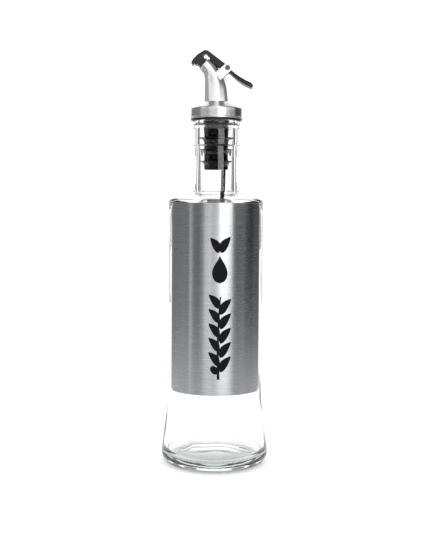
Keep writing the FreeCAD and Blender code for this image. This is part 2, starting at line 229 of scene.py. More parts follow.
def joined(parts):
    """One bmesh from several."""
    whole = bmesh.new()
    for part in parts:
        mesh = bpy.data.meshes.new("part")
        part.to_mesh(mesh)
        part.free()
        whole.from_mesh(mesh)
        bpy.data.meshes.remove(mesh)
    return whole


def as_object(bm):
    """Scratch object that holds a bmesh while modifiers work on it."""
    mesh = bpy.data.meshes.new("scratch")
    bm.to_mesh(mesh)
    bm.free()
    scratch = bpy.data.objects.new("scratch", mesh)
    bpy.context.scene.collection.objects.link(scratch)
    return scratch


def evaluated(scratch):
    """Bmesh of an object with its modifiers applied. The object is removed."""
    bpy.context.view_layer.update()
    graph = bpy.context.evaluated_depsgraph_get()
    mesh = bpy.data.meshes.new_from_object(scratch.evaluated_get(graph))
    bm = bmesh.new()
    bm.from_mesh(mesh)
    bpy.data.meshes.remove(mesh)
    bpy.data.objects.remove(scratch)
    return bm


def cut(body, cutters):
    """The body with each cutter taken away."""
    for cutter in cutters:
        target = as_object(body)
        tool = as_object(cutter)
        modifier = target.modifiers.new("cut", "BOOLEAN")
        modifier.operation = "DIFFERENCE"
        modifier.solver = "EXACT"
        modifier.object = tool
        body = evaluated(target)
        bpy.data.objects.remove(tool)
    return body


def moulded(parts, voxel, rounds):
    """One moulding from overlapping solids: merged, with softened edges and inside corners."""
    scratch = as_object(joined(parts))
    remesh = scratch.modifiers.new("merge", "REMESH")
    remesh.mode = "VOXEL"
    remesh.voxel_size = voxel
    smooth = scratch.modifiers.new("soften", "SMOOTH")
    smooth.factor = 0.5
    smooth.iterations = rounds
    return evaluated(scratch)


# ---------------------------------------------------------------- materials

class Nodes:
    """Short names for the nodes of one material."""

    def __init__(self, name):
        self.material = bpy.data.materials.new(name)
        self.material.use_nodes = True
        self.tree = self.material.node_tree
        self.shader = self.tree.nodes["Principled BSDF"]
        self.output = self.tree.nodes["Material Output"]

    def add(self, kind, **settings):
        node = self.tree.nodes.new(kind)
        for key, value in settings.items():
            setattr(node, key, value)
        return node

    def link(self, start, end):
        self.tree.links.new(start, end)

    def set(self, **values):
        for key, value in values.items():
            self.shader.inputs[key.replace("_", " ")].default_value = value

    def math(self, operation, a, b):
        node = self.add("ShaderNodeMath", operation=operation)
        for socket, value in zip(node.inputs, (a, b)):
            if isinstance(value, (int, float)):
                socket.default_value = value
            else:
                self.link(value, socket)
        return node.outputs[0]

    def place(self):
        return self.add("ShaderNodeTexCoord").outputs["Object"]

    def scaled(self, vector, scale):
        node = self.add("ShaderNodeMapping")
        node.inputs["Scale"].default_value = scale
        self.link(vector, node.inputs["Vector"])
        return node.outputs[0]

    def round_axis(self, radius):
        """(distance round the Z axis, height, 0) in metres. It starts at the back."""
        split = self.add("ShaderNodeSeparateXYZ")
        self.link(self.place(), split.inputs[0])
        back = self.math("MULTIPLY", split.outputs["Y"], -1.0)
        angle = self.math("ARCTAN2", split.outputs["X"], back)
        join = self.add("ShaderNodeCombineXYZ")
        self.link(self.math("MULTIPLY", angle, radius), join.inputs["X"])
        self.link(split.outputs["Z"], join.inputs["Y"])
        return join.outputs[0]

    def off_axis(self):
        """Distance from the Z axis in metres."""
        flat = self.add("ShaderNodeVectorMath", operation="LENGTH")
        self.link(self.scaled(self.place(), (1, 1, 0)), flat.inputs[0])
        return flat.outputs["Value"]

    def noise(self, vector, scale, detail=2.0, roughness=0.5):
        node = self.add("ShaderNodeTexNoise")
        node.inputs["Scale"].default_value = scale
        node.inputs["Detail"].default_value = detail
        node.inputs["Roughness"].default_value = roughness
        self.link(vector, node.inputs["Vector"])
        return node.outputs["Fac"]

    def ramp(self, factor, low, high):
        """Linear from low to high as factor goes from 0.25 to 0.75, where noise spends its time."""
        node = self.add("ShaderNodeMapRange")
        self.link(factor, node.inputs["Value"])
        for key, value in (("From Min", 0.25), ("From Max", 0.75), ("To Min", low), ("To Max", high)):
            node.inputs[key].default_value = value
        return node.outputs[0]

    def colours(self, factor, low, high):
        """Colour from low to high. Either can be a colour or another node's output."""
        node = self.add("ShaderNodeMix", data_type="RGBA")
        self.link(factor, node.inputs[0])
        for socket in node.inputs:
            if socket.type == "RGBA":
                value = low if socket.name == "A" else high
                if isinstance(value, tuple):
                    socket.default_value = (*value, 1)
                else:
                    self.link(value, socket)
        return [out for out in node.outputs if out.type == "RGBA"][0]

    def colour(self, value):
        self.link(value, self.shader.inputs["Base Color"])

    def rough(self, value):
        self.link(value, self.shader.inputs["Roughness"])

    def bump(self, height, distance, strength=1.0):
        node = self.add("ShaderNodeBump")
        node.inputs["Strength"].default_value = strength
        node.inputs["Distance"].default_value = distance
        self.link(height, node.inputs["Height"])
        self.link(node.outputs[0], self.shader.inputs["Normal"])


def grey(value, warm=0.0):
    return (value * (1 + warm), value, value * (1 - warm))


def glass_material():
    nodes = Nodes("clear_glass")
    nodes.set(Base_Color=(1, 1, 1, 1), Roughness=0.0, IOR=1.5, Transmission_Weight=1.0)
    depth = nodes.add("ShaderNodeVolumeAbsorption")
    depth.inputs["Color"].default_value = (0.78, 0.84, 0.82, 1)
    depth.inputs["Density"].default_value = 18.0
    nodes.link(depth.outputs[0], nodes.output.inputs["Volume"])
    waves = nodes.noise(nodes.scaled(nodes.place(), (1, 1, 0.35)), scale=90.0, detail=1.0)
    nodes.bump(waves, distance=0.0001, strength=0.35)
    return nodes.material


def brushed_material(name, low, high, roughness, anisotropic, radius, painted_light_within=0.0):
    """Steel brushed round the Z axis. Its plain inner side, nearer the axis than the given distance, is coloured a
    brighter grey. That is partly the plainer unbrushed face and partly painted light that lightens the shade inside
    the sleeve.
    """
    nodes = Nodes(name)
    around = nodes.round_axis(radius)
    streaks = nodes.noise(nodes.scaled(around, (1, 28, 1)), scale=60.0, detail=6.0, roughness=0.7)
    scratches = nodes.noise(nodes.scaled(around, (1, 60, 1)), scale=90.0, detail=3.0, roughness=0.6)
    nodes.set(Metallic=1.0, Anisotropic=anisotropic, Anisotropic_Rotation=0.25)
    brushed = nodes.colours(nodes.ramp(streaks, 0, 1), low, high)
    # Painted light: the face nearer the axis gets a brighter plain grey (0.93), which lightens the shade inside the
    # sleeve.
    inner = nodes.math("LESS_THAN", nodes.off_axis(), painted_light_within)
    nodes.colour(nodes.colours(inner, brushed, grey(0.93)))
    nodes.rough(nodes.ramp(scratches, roughness - 0.04, roughness + 0.05))
    nodes.bump(nodes.math("ADD", streaks, scratches), distance=0.00002, strength=0.5)
    tangent = nodes.add("ShaderNodeTangent", direction_type="RADIAL", axis="Z")
    nodes.link(tangent.outputs[0], nodes.shader.inputs["Tangent"])
    return nodes.material


def metal_material(name, low, high, roughness, grain):
    """Satin or drawn metal with a fine grain."""
    nodes = Nodes(name)
    grains = nodes.noise(nodes.place(), scale=grain, detail=4.0, roughness=0.6)
    nodes.set(Metallic=1.0)
    nodes.colour(nodes.colours(nodes.ramp(grains, 0, 1), low, high))
    nodes.rough(nodes.ramp(grains, roughness - 0.04, roughness + 0.06))
    nodes.bump(grains, distance=0.00003, strength=0.3)
    return nodes.material


def plastic_material(name, low, high, roughness, shine=0.5):
    """Moulded plastic or rubber: cloudy colour, fine skin texture."""
    nodes = Nodes(name)
    clouds = nodes.noise(nodes.place(), scale=160.0, detail=3.0)
    skin = nodes.noise(nodes.place(), scale=2500.0, detail=3.0)
    nodes.set(Specular_IOR_Level=shine)
    nodes.colour(nodes.colours(nodes.ramp(clouds, 0, 1), low, high))
    nodes.rough(nodes.ramp(clouds, roughness - 0.05, roughness + 0.07))
    nodes.bump(skin, distance=0.00002, strength=0.5)
    return nodes.material


def silver_plastic_material():
    """Metallised satin plastic of the spout."""
    nodes = Nodes("silver_plastic")
    clouds = nodes.noise(nodes.place(), scale=90.0)
    flakes = nodes.noise(nodes.place(), scale=6000.0)
    nodes.set(Metallic=0.85)
    nodes.colour(nodes.colours(nodes.ramp(flakes, 0, 1), (0.80, 0.79, 0.81), (0.87, 0.86, 0.88)))
    nodes.rough(nodes.ramp(clouds, 0.22, 0.27))
    nodes.bump(flakes, distance=0.000004, strength=0.2)
    return nodes.material


def make_materials():
    return {
        "clear_glass": glass_material(),
        # The plate's inner face gets the brighter grey, as painted light in the shaded inside of the sleeve.
        "brushed_plate": brushed_material("brushed_plate", grey(0.50, -0.04), grey(0.66, -0.04),
                                          roughness=0.24, anisotropic=0.93, radius=PLATE_R * MM,
                                          painted_light_within=(PLATE_R - SHEET / 2) * MM),
        "satin_collar": brushed_material("satin_collar", grey(0.68, -0.02), grey(0.80, -0.02),
                                         roughness=0.22, anisotropic=0.5, radius=COLLAR_HIGH.x * MM),
        "adhesive_film": plastic_material("adhesive_film", grey(0.55, 0.05), grey(0.66, 0.06), 0.5),
        "black_rubber": plastic_material("black_rubber", grey(0.004), grey(0.008), 0.28, 0.4),
        "black_plastic": plastic_material("black_plastic", grey(0.004), grey(0.008), 0.30, 0.4),
        "silver_plastic": silver_plastic_material(),
        "dark_pin": metal_material("dark_pin", grey(0.10), grey(0.18), 0.35, 3000.0),
        "spring_steel": metal_material("spring_steel", grey(0.55), grey(0.68), 0.22, 4000.0),
        "grey_plastic": plastic_material("grey_plastic", grey(0.014), grey(0.022), 0.38, 0.3),
        "seal_silicone": plastic_material("seal_silicone", grey(0.35), grey(0.45), 0.55),
        "printed_ink": plastic_material("printed_ink", grey(0.002), grey(0.004), 0.55, 0.12),
    }


# ---------------------------------------------------------------- pieces

def dress(piece, slot, body, *nodes):
    """Gives a piece the material named by slot and its body, and hides the CAD nodes that it stands for.
    """
    piece.data.materials.clear()
    piece.data.materials.append(MATERIALS[slot])
    if body:
        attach(piece, body)
    if nodes:
        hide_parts(*nodes)
    return piece


STIPPLES = 96                   # bumps round the heel
STIPPLE_LOW_Z = 0.5
STIPPLE_HIGH_Z = 2.6
STIPPLE_HEIGHT = 0.22
INNER_WAVE = 0.42               # unevenness of the blown inner wall
OUTER_WAVE = 0.03
WAVES = 3.4                     # how many waves go round, roughly
WAVE_STRETCH = 90.0             # mm of height that count as one radius
WAVY_BEYOND_R = 14.0            # the inner wall waves only where it is wider than this
TRUE_WITHIN_R = 12.0            # the mouth, the bore and the middle of the floor are true


def climb(value, start, length):
    """0 below start, 1 beyond start + length, and linear between."""
    return min(1.0, max(0.0, value - start) / length)


def glass_shape(radius, z, angle):
    """Radius with an uneven inner wall, a nearly true outside and a ring of bumps on the heel."""
    around = Vector((math.cos(angle), math.sin(angle), z / WAVE_STRETCH))
    inner_wall = radius < BODY_R - 2.0 + max(0.0, HEEL_TOP_Z - z) * 0.1 and 4.5 < z < 160.0
    wave = noise.noise(around * WAVES + Vector((3.1, 0, 7.7)))
    if inner_wall and radius > WAVY_BEYOND_R:
        above_floor = climb(z, 9.0, 14.0)
        calmer_above_heel = 1.0 - 0.8 * climb(z, 42.0, 25.0)
        return radius + INNER_WAVE * wave * above_floor * calmer_above_heel
    if radius < TRUE_WITHIN_R:
        return radius
    radius += min(0.0, OUTER_WAVE * (wave - 0.6))
    if STIPPLE_LOW_Z < z < STIPPLE_HIGH_Z:
        window = math.sin(math.pi * (z - STIPPLE_LOW_Z) / (STIPPLE_HIGH_Z - STIPPLE_LOW_Z))
        radius += STIPPLE_HEIGHT * window * max(0.0, math.cos(STIPPLES * angle))
    return radius


def make_bottle():
    """One outline: up the outside from the hollow foot, over the lip and down the inside."""
    neck_r, bead_r, lip_r, mouth_r, inner_r = 13.6, 14.85, 14.7, 10.9, BODY_R - WALL
    corners = [
        (0, 1.9, 0), (5.0, 1.9, 30.0), (24.8, 0, 8.0), (34.0, 0, 6.5),
        (BODY_R, HEEL_TOP_Z, 40.0), (BODY_R, 164.15, 3.0), (14.2, 168.1, 1.6),
        (neck_r, 196.4, 0.4), (bead_r, 196.7, 0.6), (bead_r, 207.2, 0.8),
        (13.9, 208.5, 0.4), (lip_r, 209.8, 0.6), (lip_r, GLASS_TOP_Z, 0.8),
        (mouth_r, GLASS_TOP_Z, 0.8), (mouth_r, 200.0, 10.0), (10.35, 190.0, 10.0), (10.35, 165.45, 5.0),
        (inner_r, 161.55, 6.0), (inner_r, 44.0, 40.0), (30.2, 4.7, 5.5), (5.0, 5.6, 30.0), (0, 5.6, 0),
    ]
    outline = rounded(corners, arc_step=7.0, longest=2.2)
    bm = turned(outline, segments=STIPPLES * 5, shape=glass_shape)
    dress(finish_mesh("bottle_glass", bm), "clear_glass", "bottle", "glass_bottle")


def sheet_points(radius, inset, corner_r, columns=120, rows=48):
    """Columns of points over the bent plate's outline, from its low edge to its high edge."""
    half, low, high = PLATE_HIGH.x - inset, PLATE_LOW.z + inset, PLATE_HIGH.z - inset
    round_r = corner_r - inset
    corner = [(half - round_r + round_r * math.sin(a), round_r * (1 - math.cos(a)))
              for a in (math.radians(15 * k) for k in range(1, 7))]
    reach = math.asin((half - round_r) / radius)
    middle = [(radius * math.sin(reach * (2 * k / columns - 1)), 0.0) for k in range(columns + 1)]
    across = [(-x, trim) for x, trim in reversed(corner)] + middle + corner
    return [[Vector((x, -math.sqrt(radius * radius - x * x), low + trim + (high - low - 2 * trim) * k / rows))
             for k in range(rows + 1)] for x, trim in across]


def rim(columns):
    """The outer points of a grid, in order round it."""
    low = [column[0] for column in columns]
    high = [column[-1] for column in reversed(columns)]
    return low[:-1] + columns[-1][:-1] + high[:-1] + list(reversed(columns[0]))[:-1]


def make_plate():
    """Bent sheet with rounded corners and broken edges: outer face, two rims and inner face."""
    edge, corner_r = 0.08, 1.5
    bm = bmesh.new()
    grids = []
    for radius in (PLATE_R, PLATE_R - SHEET):
        points = sheet_points(radius, edge, corner_r)
        grids.append([[bm.verts.new(point) for point in column] for column in points])
        grid_faces(bm, grids[-1])
    middle = [[bm.verts.new(point) for point in rim(sheet_points(radius, 0.0, corner_r))]
              for radius in (PLATE_R - edge, PLATE_R - SHEET + edge)]
    rims = [rim(grids[0]), *middle, rim(grids[1])]
    for outer, inner in zip(rims, rims[1:]):
        band_faces(bm, outer, inner)
    dress(finish_mesh("front_plate", bm), "brushed_plate", "bottle", "steel_plate")


def make_collar():
    """Spun shell: a beaded rim, a straight side and a low dome with the spout's hole."""
    inner_r, rim_r, side_r, hole_r = 15.6, 16.4, 16.1, 7.8
    outline = rounded([
        (inner_r, COLLAR_LOW.z, 0.2), (rim_r, COLLAR_LOW.z, 0.35), (rim_r, COLLAR_LOW.z + 0.9, 0.35),
        (side_r, COLLAR_LOW.z + 1.0, 0.1), (side_r, 219.6, 0.9), (14.6, 219.85, 3.0),
        (8.8, 223.3, 1.6), (hole_r, 223.4, 0.1), (hole_r, 222.8, 0.1), (8.6, 222.7, 1.0),
        (14.4, 219.3, 2.4), (inner_r, 219.1, 0.4),
    ], longest=1.0)
    bm = turned(outline, segments=160)
    dress(finish_mesh("collar_shell", bm), "satin_collar", "pourer", "collar_cap")


def make_washer():
    hole = 8.3
    outline = rounded([
        (hole, WASHER_LOW.z, 0.1), (WASHER_HIGH.x, WASHER_LOW.z, 0.3),
        (WASHER_HIGH.x, WASHER_HIGH.z, 0.3), (hole, WASHER_HIGH.z, 0.1),
    ], longest=1.5)
    bm = turned(outline)
    dress(finish_mesh("washer_ring", bm), "black_rubber", "pourer", "sealing_washer")


FINS = [(201.2, 10.75), (194.0, 10.1), (187.0, 9.6)]   # (height, radius) of each


def make_stopper():
    """Finned cup with a closed foot, which has one hole for the liquid and one for the air tube."""
    stem, wall, top, foot, fin = 6.3, 7.35, 8.0, 182.9, 0.275
    corners = [(0, STOPPER_LOW.z, 0), (wall, STOPPER_LOW.z, 0.4)]
    for z, radius in reversed(FINS):
        corners += [
            (wall, z - 2.6, 0.8), (wall + 0.9, z - 0.9, 0.6), (radius, z - fin, 0.15),
            (radius, z + fin, 0.15), (wall, z + 0.55, 0.4),
        ]
    corners += [(top, STOPPER_HIGH.z, 0.2), (stem, STOPPER_HIGH.z, 0.1), (stem, foot, 0), (0, foot, 0)]
    pour_hole = rod_z(CHANNEL_R, CHANNEL_X, foot - 3, foot + 2)
    air_hole = rod_z(TUBE_R + 0.02, TUBE_HIGH.x - TUBE_R, foot - 3, foot + 2)
    bm = cut(turned(rounded(corners, longest=1.5)), [pour_hole, air_hole])
    dress(finish_mesh("stopper_sleeve", bm), "black_rubber", "pourer", "ribbed_stopper")


# (x, z, tilt in degrees, half width in X, half width in Y) of the spout's skin and of its channel.
SPOUT_SECTIONS = [
    (-0.12, SPOUT_LOW_Z, 0.0, 7.60, 7.50),
    (-0.15, 222.0, 0.0, 7.50, 7.40),
    (-0.40, 228.3, 0.0, 7.15, 7.05),
    (-1.00, 234.3, 9.5, 6.60, 6.50),
    (-2.90, 240.4, 22.0, 5.16, 5.50),
    (-5.55, 244.1, 38.5, 4.75, 4.85),
    (MOUTH_X, MOUTH_Z, MOUTH_TILT, 4.50, 4.55),
]
CHANNEL_SECTIONS = [
    (MOUTH_X, MOUTH_Z, MOUTH_TILT, 3.35, CHANNEL_R),
    (-5.90, 244.4, 38.5, CHANNEL_R, 3.25),
    (-3.60, 240.9, 24.0, CHANNEL_R, 3.25),
    (-1.95, 235.0, 2.0, CHANNEL_R, 3.28),
    (CHANNEL_X, 229.0, 0.0, CHANNEL_R, 3.28),
    (CHANNEL_X, 222.0, 0.0, CHANNEL_R, 3.28),
    (CHANNEL_X, SPOUT_LOW_Z, 0.0, CHANNEL_R, 3.28),
]


def between(sections, steps):
    """Sections with smooth ones added between each two (Catmull-Rom)."""
    result = []
    last = len(sections) - 1
    for index in range(last):
        around = [sections[min(max(index + k, 0), last)] for k in (-1, 0, 1, 2)]
        for step in range(steps):
            t = step / steps
            weights = (
                (-t + 2 * t ** 2 - t ** 3) / 2, (2 - 5 * t ** 2 + 3 * t ** 3) / 2,
                (t + 4 * t ** 2 - 3 * t ** 3) / 2, (-t ** 2 + t ** 3) / 2,
            )
            result.append(tuple(sum(w * s[k] for w, s in zip(weights, around)) for k in range(5)))
    return result + [sections[-1]]


def ring(section, segments=72):
    """Points of a tilted elliptical section."""
    x, z, tilt, half_x, half_y = section
    angle = math.radians(tilt)
    return [Vector((x + half_x * a * math.cos(angle), half_y * b, z + half_x * a * math.sin(angle)))
            for a, b in circle(1.0, segments)]


def bracket():
    """The block behind the spout with its two ears and the pin's hole."""
    ear_r, ear_long, slope = 2.7, 8.6, math.radians(41.5)
    along = Vector((math.cos(slope), math.sin(slope)))
    across = Vector((-along.y, along.x)) * ear_r
    centre = Vector((PIN.x, PIN.z))
    end = centre + along * ear_r
    root = centre - along * ear_long
    corners = [(end + across, ear_r - 0.01), (end - across, ear_r - 0.01),
               (root - across, 0.7), (root + across, 0.7)]
    outline = rounded([(p.x, p.y, r) for p, r in corners])
    out_y, in_y, far_x, high_z = 5.25, 3.8, 14, 252
    block = plate(outline, -out_y, out_y)
    beside_hub = box((PIN.x - 3.15, -in_y, 230), (far_x, in_y, high_z))
    under_arm = box((-6, -in_y, PIN.z - 1.0), (far_x, in_y, high_z))
    hole = rod_y(PIN_R + 0.1, -7, 7, PIN.x, PIN.z)
    return cut(block, [beside_hub, under_arm, hole])


def make_spout():
    outside = [ring(section) for section in between(SPOUT_SECTIONS, 8)]
    inside = [ring(section) for section in between(CHANNEL_SECTIONS, 8)]
    tube = tube_rings(outside + inside, closed_ends=False)
    inner_r, outer_r, top_z = 5.8, 13.4, SPOUT_LOW_Z + 2.7
    flange = turned(rounded([
        (inner_r, SPOUT_LOW_Z, 0), (outer_r, SPOUT_LOW_Z, 0.2), (outer_r, top_z, 0.3), (inner_r, top_z, 0),
    ]), segments=96)
    bm = moulded([tube, flange, bracket()], voxel=0.2, rounds=5)
    dress(finish_mesh("spout_moulding", bm, sharp=60.0), "silver_plastic", "pourer", "spout")


def turned_on_y(outline, centre, segments=64):
    """Turned piece whose axis is the line along Y through centre."""
    bm = turned(outline, segments=segments)
    bmesh.ops.rotate(bm, cent=(0, 0, 0), matrix=Matrix.Rotation(math.radians(90), 3, "X"), verts=bm.verts)
    bmesh.ops.translate(bm, vec=centre, verts=bm.verts)
    return bm


def make_pin():
    half = (PIN_HIGH.y - PIN_LOW.y) / 2
    dimple_r, dimple = 0.65, 0.6
    outline = rounded([
        (0, -half + dimple, 0), (dimple_r, -half + dimple, 0.1), (dimple_r, -half, 0.1), (PIN_R, -half, 0.25),
        (PIN_R, half, 0.25), (dimple_r, half, 0.1), (dimple_r, half - dimple, 0.1), (0, half - dimple, 0),
    ])
    bm = turned_on_y(outline, PIN)
    dress(finish_mesh("hinge_pin", bm), "dark_pin", "pourer", "pivot_pin")


def wire(name, points, radius):
    """Round wire along points, with closed round ends."""
    curve = bpy.data.curves.new(name, "CURVE")
    curve.dimensions = "3D"
    curve.bevel_depth = radius
    curve.bevel_resolution = 4
    curve.use_fill_caps = True
    spline = curve.splines.new("NURBS")
    spline.points.add(len(points) - 1)
    for point, place in zip(spline.points, points):
        point.co = (*place, 1)
    spline.order_u = 3
    spline.use_endpoint_u = True
    curve.resolution_u = 6
    scratch = bpy.data.objects.new(name, curve)
    bpy.context.scene.collection.objects.link(scratch)
    return evaluated(scratch)


def make_spring():
    """Coil on the pin, one leg down the spout's back and one under the thumb lever."""
    wire_r, coil_r, turns, pitch, per_turn, twist_y = 0.25, 2.0, 3.5, 0.54, 20, 0.68
    steps = int(turns * per_turn)
    points = []
    for index in range(steps + 1):
        share = index / per_turn
        angle = math.pi + TURN * share
        points.append(Vector((PIN.x + coil_r * math.cos(angle), pitch * (share - turns / 2),
                              PIN.z + coil_r * math.sin(angle))))
    spout_leg = [Vector((6.35, -1.0, 235.0)), Vector((5.0, -1.0, 238.0)), Vector((4.5, -0.97, 240.2))]
    thumb_leg = [Vector((8.4, 0.97, 241.2)), Vector((8.9, 1.0, 240.3)), Vector((12.4, 1.0, 237.3))]
    bm = wire("spring_wire", spout_leg + points + thumb_leg, wire_r)
    spring = dress(finish_mesh("hinge_spring", bm, sharp=70.0), "spring_steel", None, "torsion_spring")
    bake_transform(spring)


def make_air_tube():
    """Thin breather tube with an open bore, straight in the stem and leaning below it."""
    bore, kink = 0.8, 180.0
    axis_x = TUBE_HIGH.x - TUBE_R
    lean = math.tan(math.radians(1.6))
    heights = [TUBE_HIGH.z, 200.0, 190.0, 184.0, kink, 176.0, 165.0, 158.0, TUBE_LOW.z]
    places = [(axis_x - max(0.0, kink - z) * lean, z) for z in heights]
    skins = [[Vector((x + a, b, z)) for a, b in circle(radius, 32)]
             for radius, run in ((TUBE_R, places), (bore, places[::-1])) for x, z in run]
    bm = tube_rings(skins, closed_ends=False)
    dress(finish_mesh("breather_tube", bm), "black_plastic", "pourer", "air_tube")


# Side outlines of the lever's hood with its arm, and of its thumb blade: (x, z, rounding).
HOOD = [
    (-15.65, 247.0, .8), (-14.2, 249.15, 1.5), (-12.0, 251.5, 3), (-6.45, 255.0, 2.8),
    (PIN.x + 1.0, PIN.z + 0.9, .4), (PIN.x - 1.6, PIN.z - 1.6, .3), (-0.1, 245.1, .6), (-4.6, 249.4, .4),
    (-3.8, 250.0, .4), (-6.5, 252.35, .5), (-8.4, 251.3, .6), (-7.9, 250.0, .6),
    (-6.5, 248.0, .3), (-10.2, 244.3, .3), (-11.7, 245.75, .3), (-13.0, 245.7, .4),
    (-13.6, 246.75, .3), (-14.75, 245.2, .45),
]
THUMB = [
    (PIN.x - 1.0, PIN.z + 1.6, .3), (8.95, 242.35, 3), (13.35, 238.85, 20), (17.4, 236.4, 20),
    (20.9, 234.85, 1), (22.35, 232.95, .7), (21.5, 231.65, .6), (16.8, 233.7, 20),
    (12.9, 236.3, 20), (7.8, 240.75, .8), (PIN.x - 0.4, PIN.z - 2.0, .3),
]


def on_mouth(bm):
    """Moves a piece turned about Z so that its axis is the mouth's and its foot is on the mouth."""
    turn = Matrix.Rotation(-math.radians(MOUTH_TILT), 3, "Y")
    bmesh.ops.rotate(bm, cent=(0, 0, 0), matrix=turn, verts=bm.verts)
    bmesh.ops.translate(bm, vec=(MOUTH_X, 0, MOUTH_Z), verts=bm.verts)
    return bm


def both_sides(near, far):
    """The Y range from near to far on the left of the middle plane, and the one on its right."""
    return (-far, -near), (near, far)


def groove(start, end, width):
    """X-Z outline of a straight groove from start to end. width is a vector across it."""
    return [(point.x, point.y) for point in (start, end, end + width, start + width)]


def arm_grooves():
    """Fine grooves along both sides of the arm."""
    rows, width, floor_y, outside_y = 3, 0.42, 3.2, 4.0
    start, end = Vector((-4.6, 252.1)), Vector((PIN.x - 0.4, PIN.z + 1.9))
    along = (end - start).normalized()
    down = Vector((along.y, -along.x))
    cutters = []
    for row in range(rows):
        outline = groove(start + down * (0.55 + 0.95 * row), end + down * (-0.25 + 0.85 * row), down * width)
        cutters += [plate(outline, low, high) for low, high in both_sides(floor_y, outside_y)]
    return cutters


def thumb_grooves(root_half, tip_half):
    """Grip grooves down both sides of the thumb blade, which widens from its root to its tip."""
    count, width, depth, sag = 12, 0.4, 0.3, 1.1
    start, end = Vector((10.6, 240.2)), Vector((20.2, 234.6))
    along = (end - start).normalized()
    up = Vector((-along.y, along.x))
    cutters = []
    for index in range(count):
        t = index / (count - 1)
        middle = start.lerp(end, t) - up * sag * math.sin(math.pi * t)
        half = root_half
        if middle.x >= 11.4:
            half = min(tip_half, root_half + (middle.x - 11.0) / 3.5 * (tip_half - root_half))
        near = middle - along * width / 2
        outline = groove(near + up * 3.0, near - up * 0.75, along * width)
        cutters += [plate(outline, low, high) for low, high in both_sides(half - depth, 6.0)]
    return cutters


def make_lever():
    """Hood, arm, thumb blade and hub in one moulding, with the pin's bore and room for the spring."""
    hood_half, arm_half, thumb_half, hub_r = 4.4, 3.5, 5.0, 2.45
    head = plate(rounded(HOOD), -hood_half, hood_half)
    head = cut(head, [box((-7.4, low, 240), (14, high, 258)) for low, high in both_sides(arm_half, 6.0)])
    head = cut(head, arm_grooves())
    blade = plate(rounded(THUMB), -thumb_half, thumb_half)
    beside_root = [(0.0, arm_half), (11.0, arm_half), (14.5, thumb_half), (14.5, 7.0), (0.0, 7.0)]
    blade = cut(blade, [prism_z([(x, side * y) for x, y in beside_root], 228, 250) for side in (-1, 1)])
    blade = cut(blade, thumb_grooves(arm_half, thumb_half))
    hub = rod_y(hub_r, -arm_half, arm_half, PIN.x, PIN.z)
    bm = moulded([head, blade, hub], voxel=0.16, rounds=3)
    bore = rod_y(PIN_R + 0.08, -8, 8, PIN.x, PIN.z)
    spring_room = rod_y(hub_r + 0.6, -1.35, 1.35, PIN.x, PIN.z)
    arm_pocket = [(-5.6, 248.0), (-5.6, 253.3), (PIN.x - 1.7, PIN.z + 0.2), (PIN.x - 4.0, 240.0)]
    leg_groove = [(7.2, 239.0), (7.2, 241.8), (8.8, 241.5), (13.4, 238.0), (13.4, 235.0)]
    seat_r, seat_low, seat_high = 3.5, -0.7, 1.9
    seat_outline = [(0, seat_low), (seat_r, seat_low), (seat_r, seat_high), (0, seat_high)]
    seat = on_mouth(turned(seat_outline, segments=64))
    bm = cut(bm, [bore, spring_room, plate(arm_pocket, -2.2, 2.2), plate(leg_groove, 0.55, 1.45), seat])
    dress(finish_mesh("flip_lever", bm, sharp=50.0), "grey_plastic", "flip_top", "lever_cap")


def make_seal():
    """Soft pad with a broken edge, standing just off the mouth."""
    face_z, back_z, pad_r = 0.15, 1.85, 3.45
    outline = rounded([(0, face_z, 0), (2.9, face_z, 0.3), (pad_r, 0.4, 0.2), (pad_r, back_z, 0.2), (0, back_z, 0)])
    bm = on_mouth(turned(outline, segments=64))
    dress(finish_mesh("hood_seal", bm), "seal_silicone", "flip_top", "mouth_seal")


# ---------------------------------------------------------------- printed motif

def on_plate(u, v, proud):
    """Point of the plate's face: u mm round from the front, v mm up, proud mm off the steel."""
    angle = u / PLATE_R
    r = PLATE_R + proud
    return Vector((r * math.sin(angle), -r * math.cos(angle), v))


def leaf(foot, tip, half_width, bend=0.0, steps=18, across=4):
    """Printed shape from foot to tip, with half_width(t) along it and its middle bent aside."""
    foot, tip = Vector(foot), Vector(tip)
    along = tip - foot
    side = Vector((-along.y, along.x)).normalized()
    bm = bmesh.new()
    sheets = []
    for proud in (PRINT_LOW, PRINT_HIGH):
        sheet = []
        for step in range(steps + 1):
            t = step / steps
            middle = foot + along * t + side * bend * math.sin(math.pi * t)
            width = max(half_width(t), 0.02)
            sheet.append([bm.verts.new(on_plate(*(middle + side * width * s / across), proud))
                          for s in range(-across, across + 1)])
        grid_faces(bm, sheet)
        sheets.append(sheet)
    band_faces(bm, rim(sheets[0]), rim(sheets[1]))
    return bm


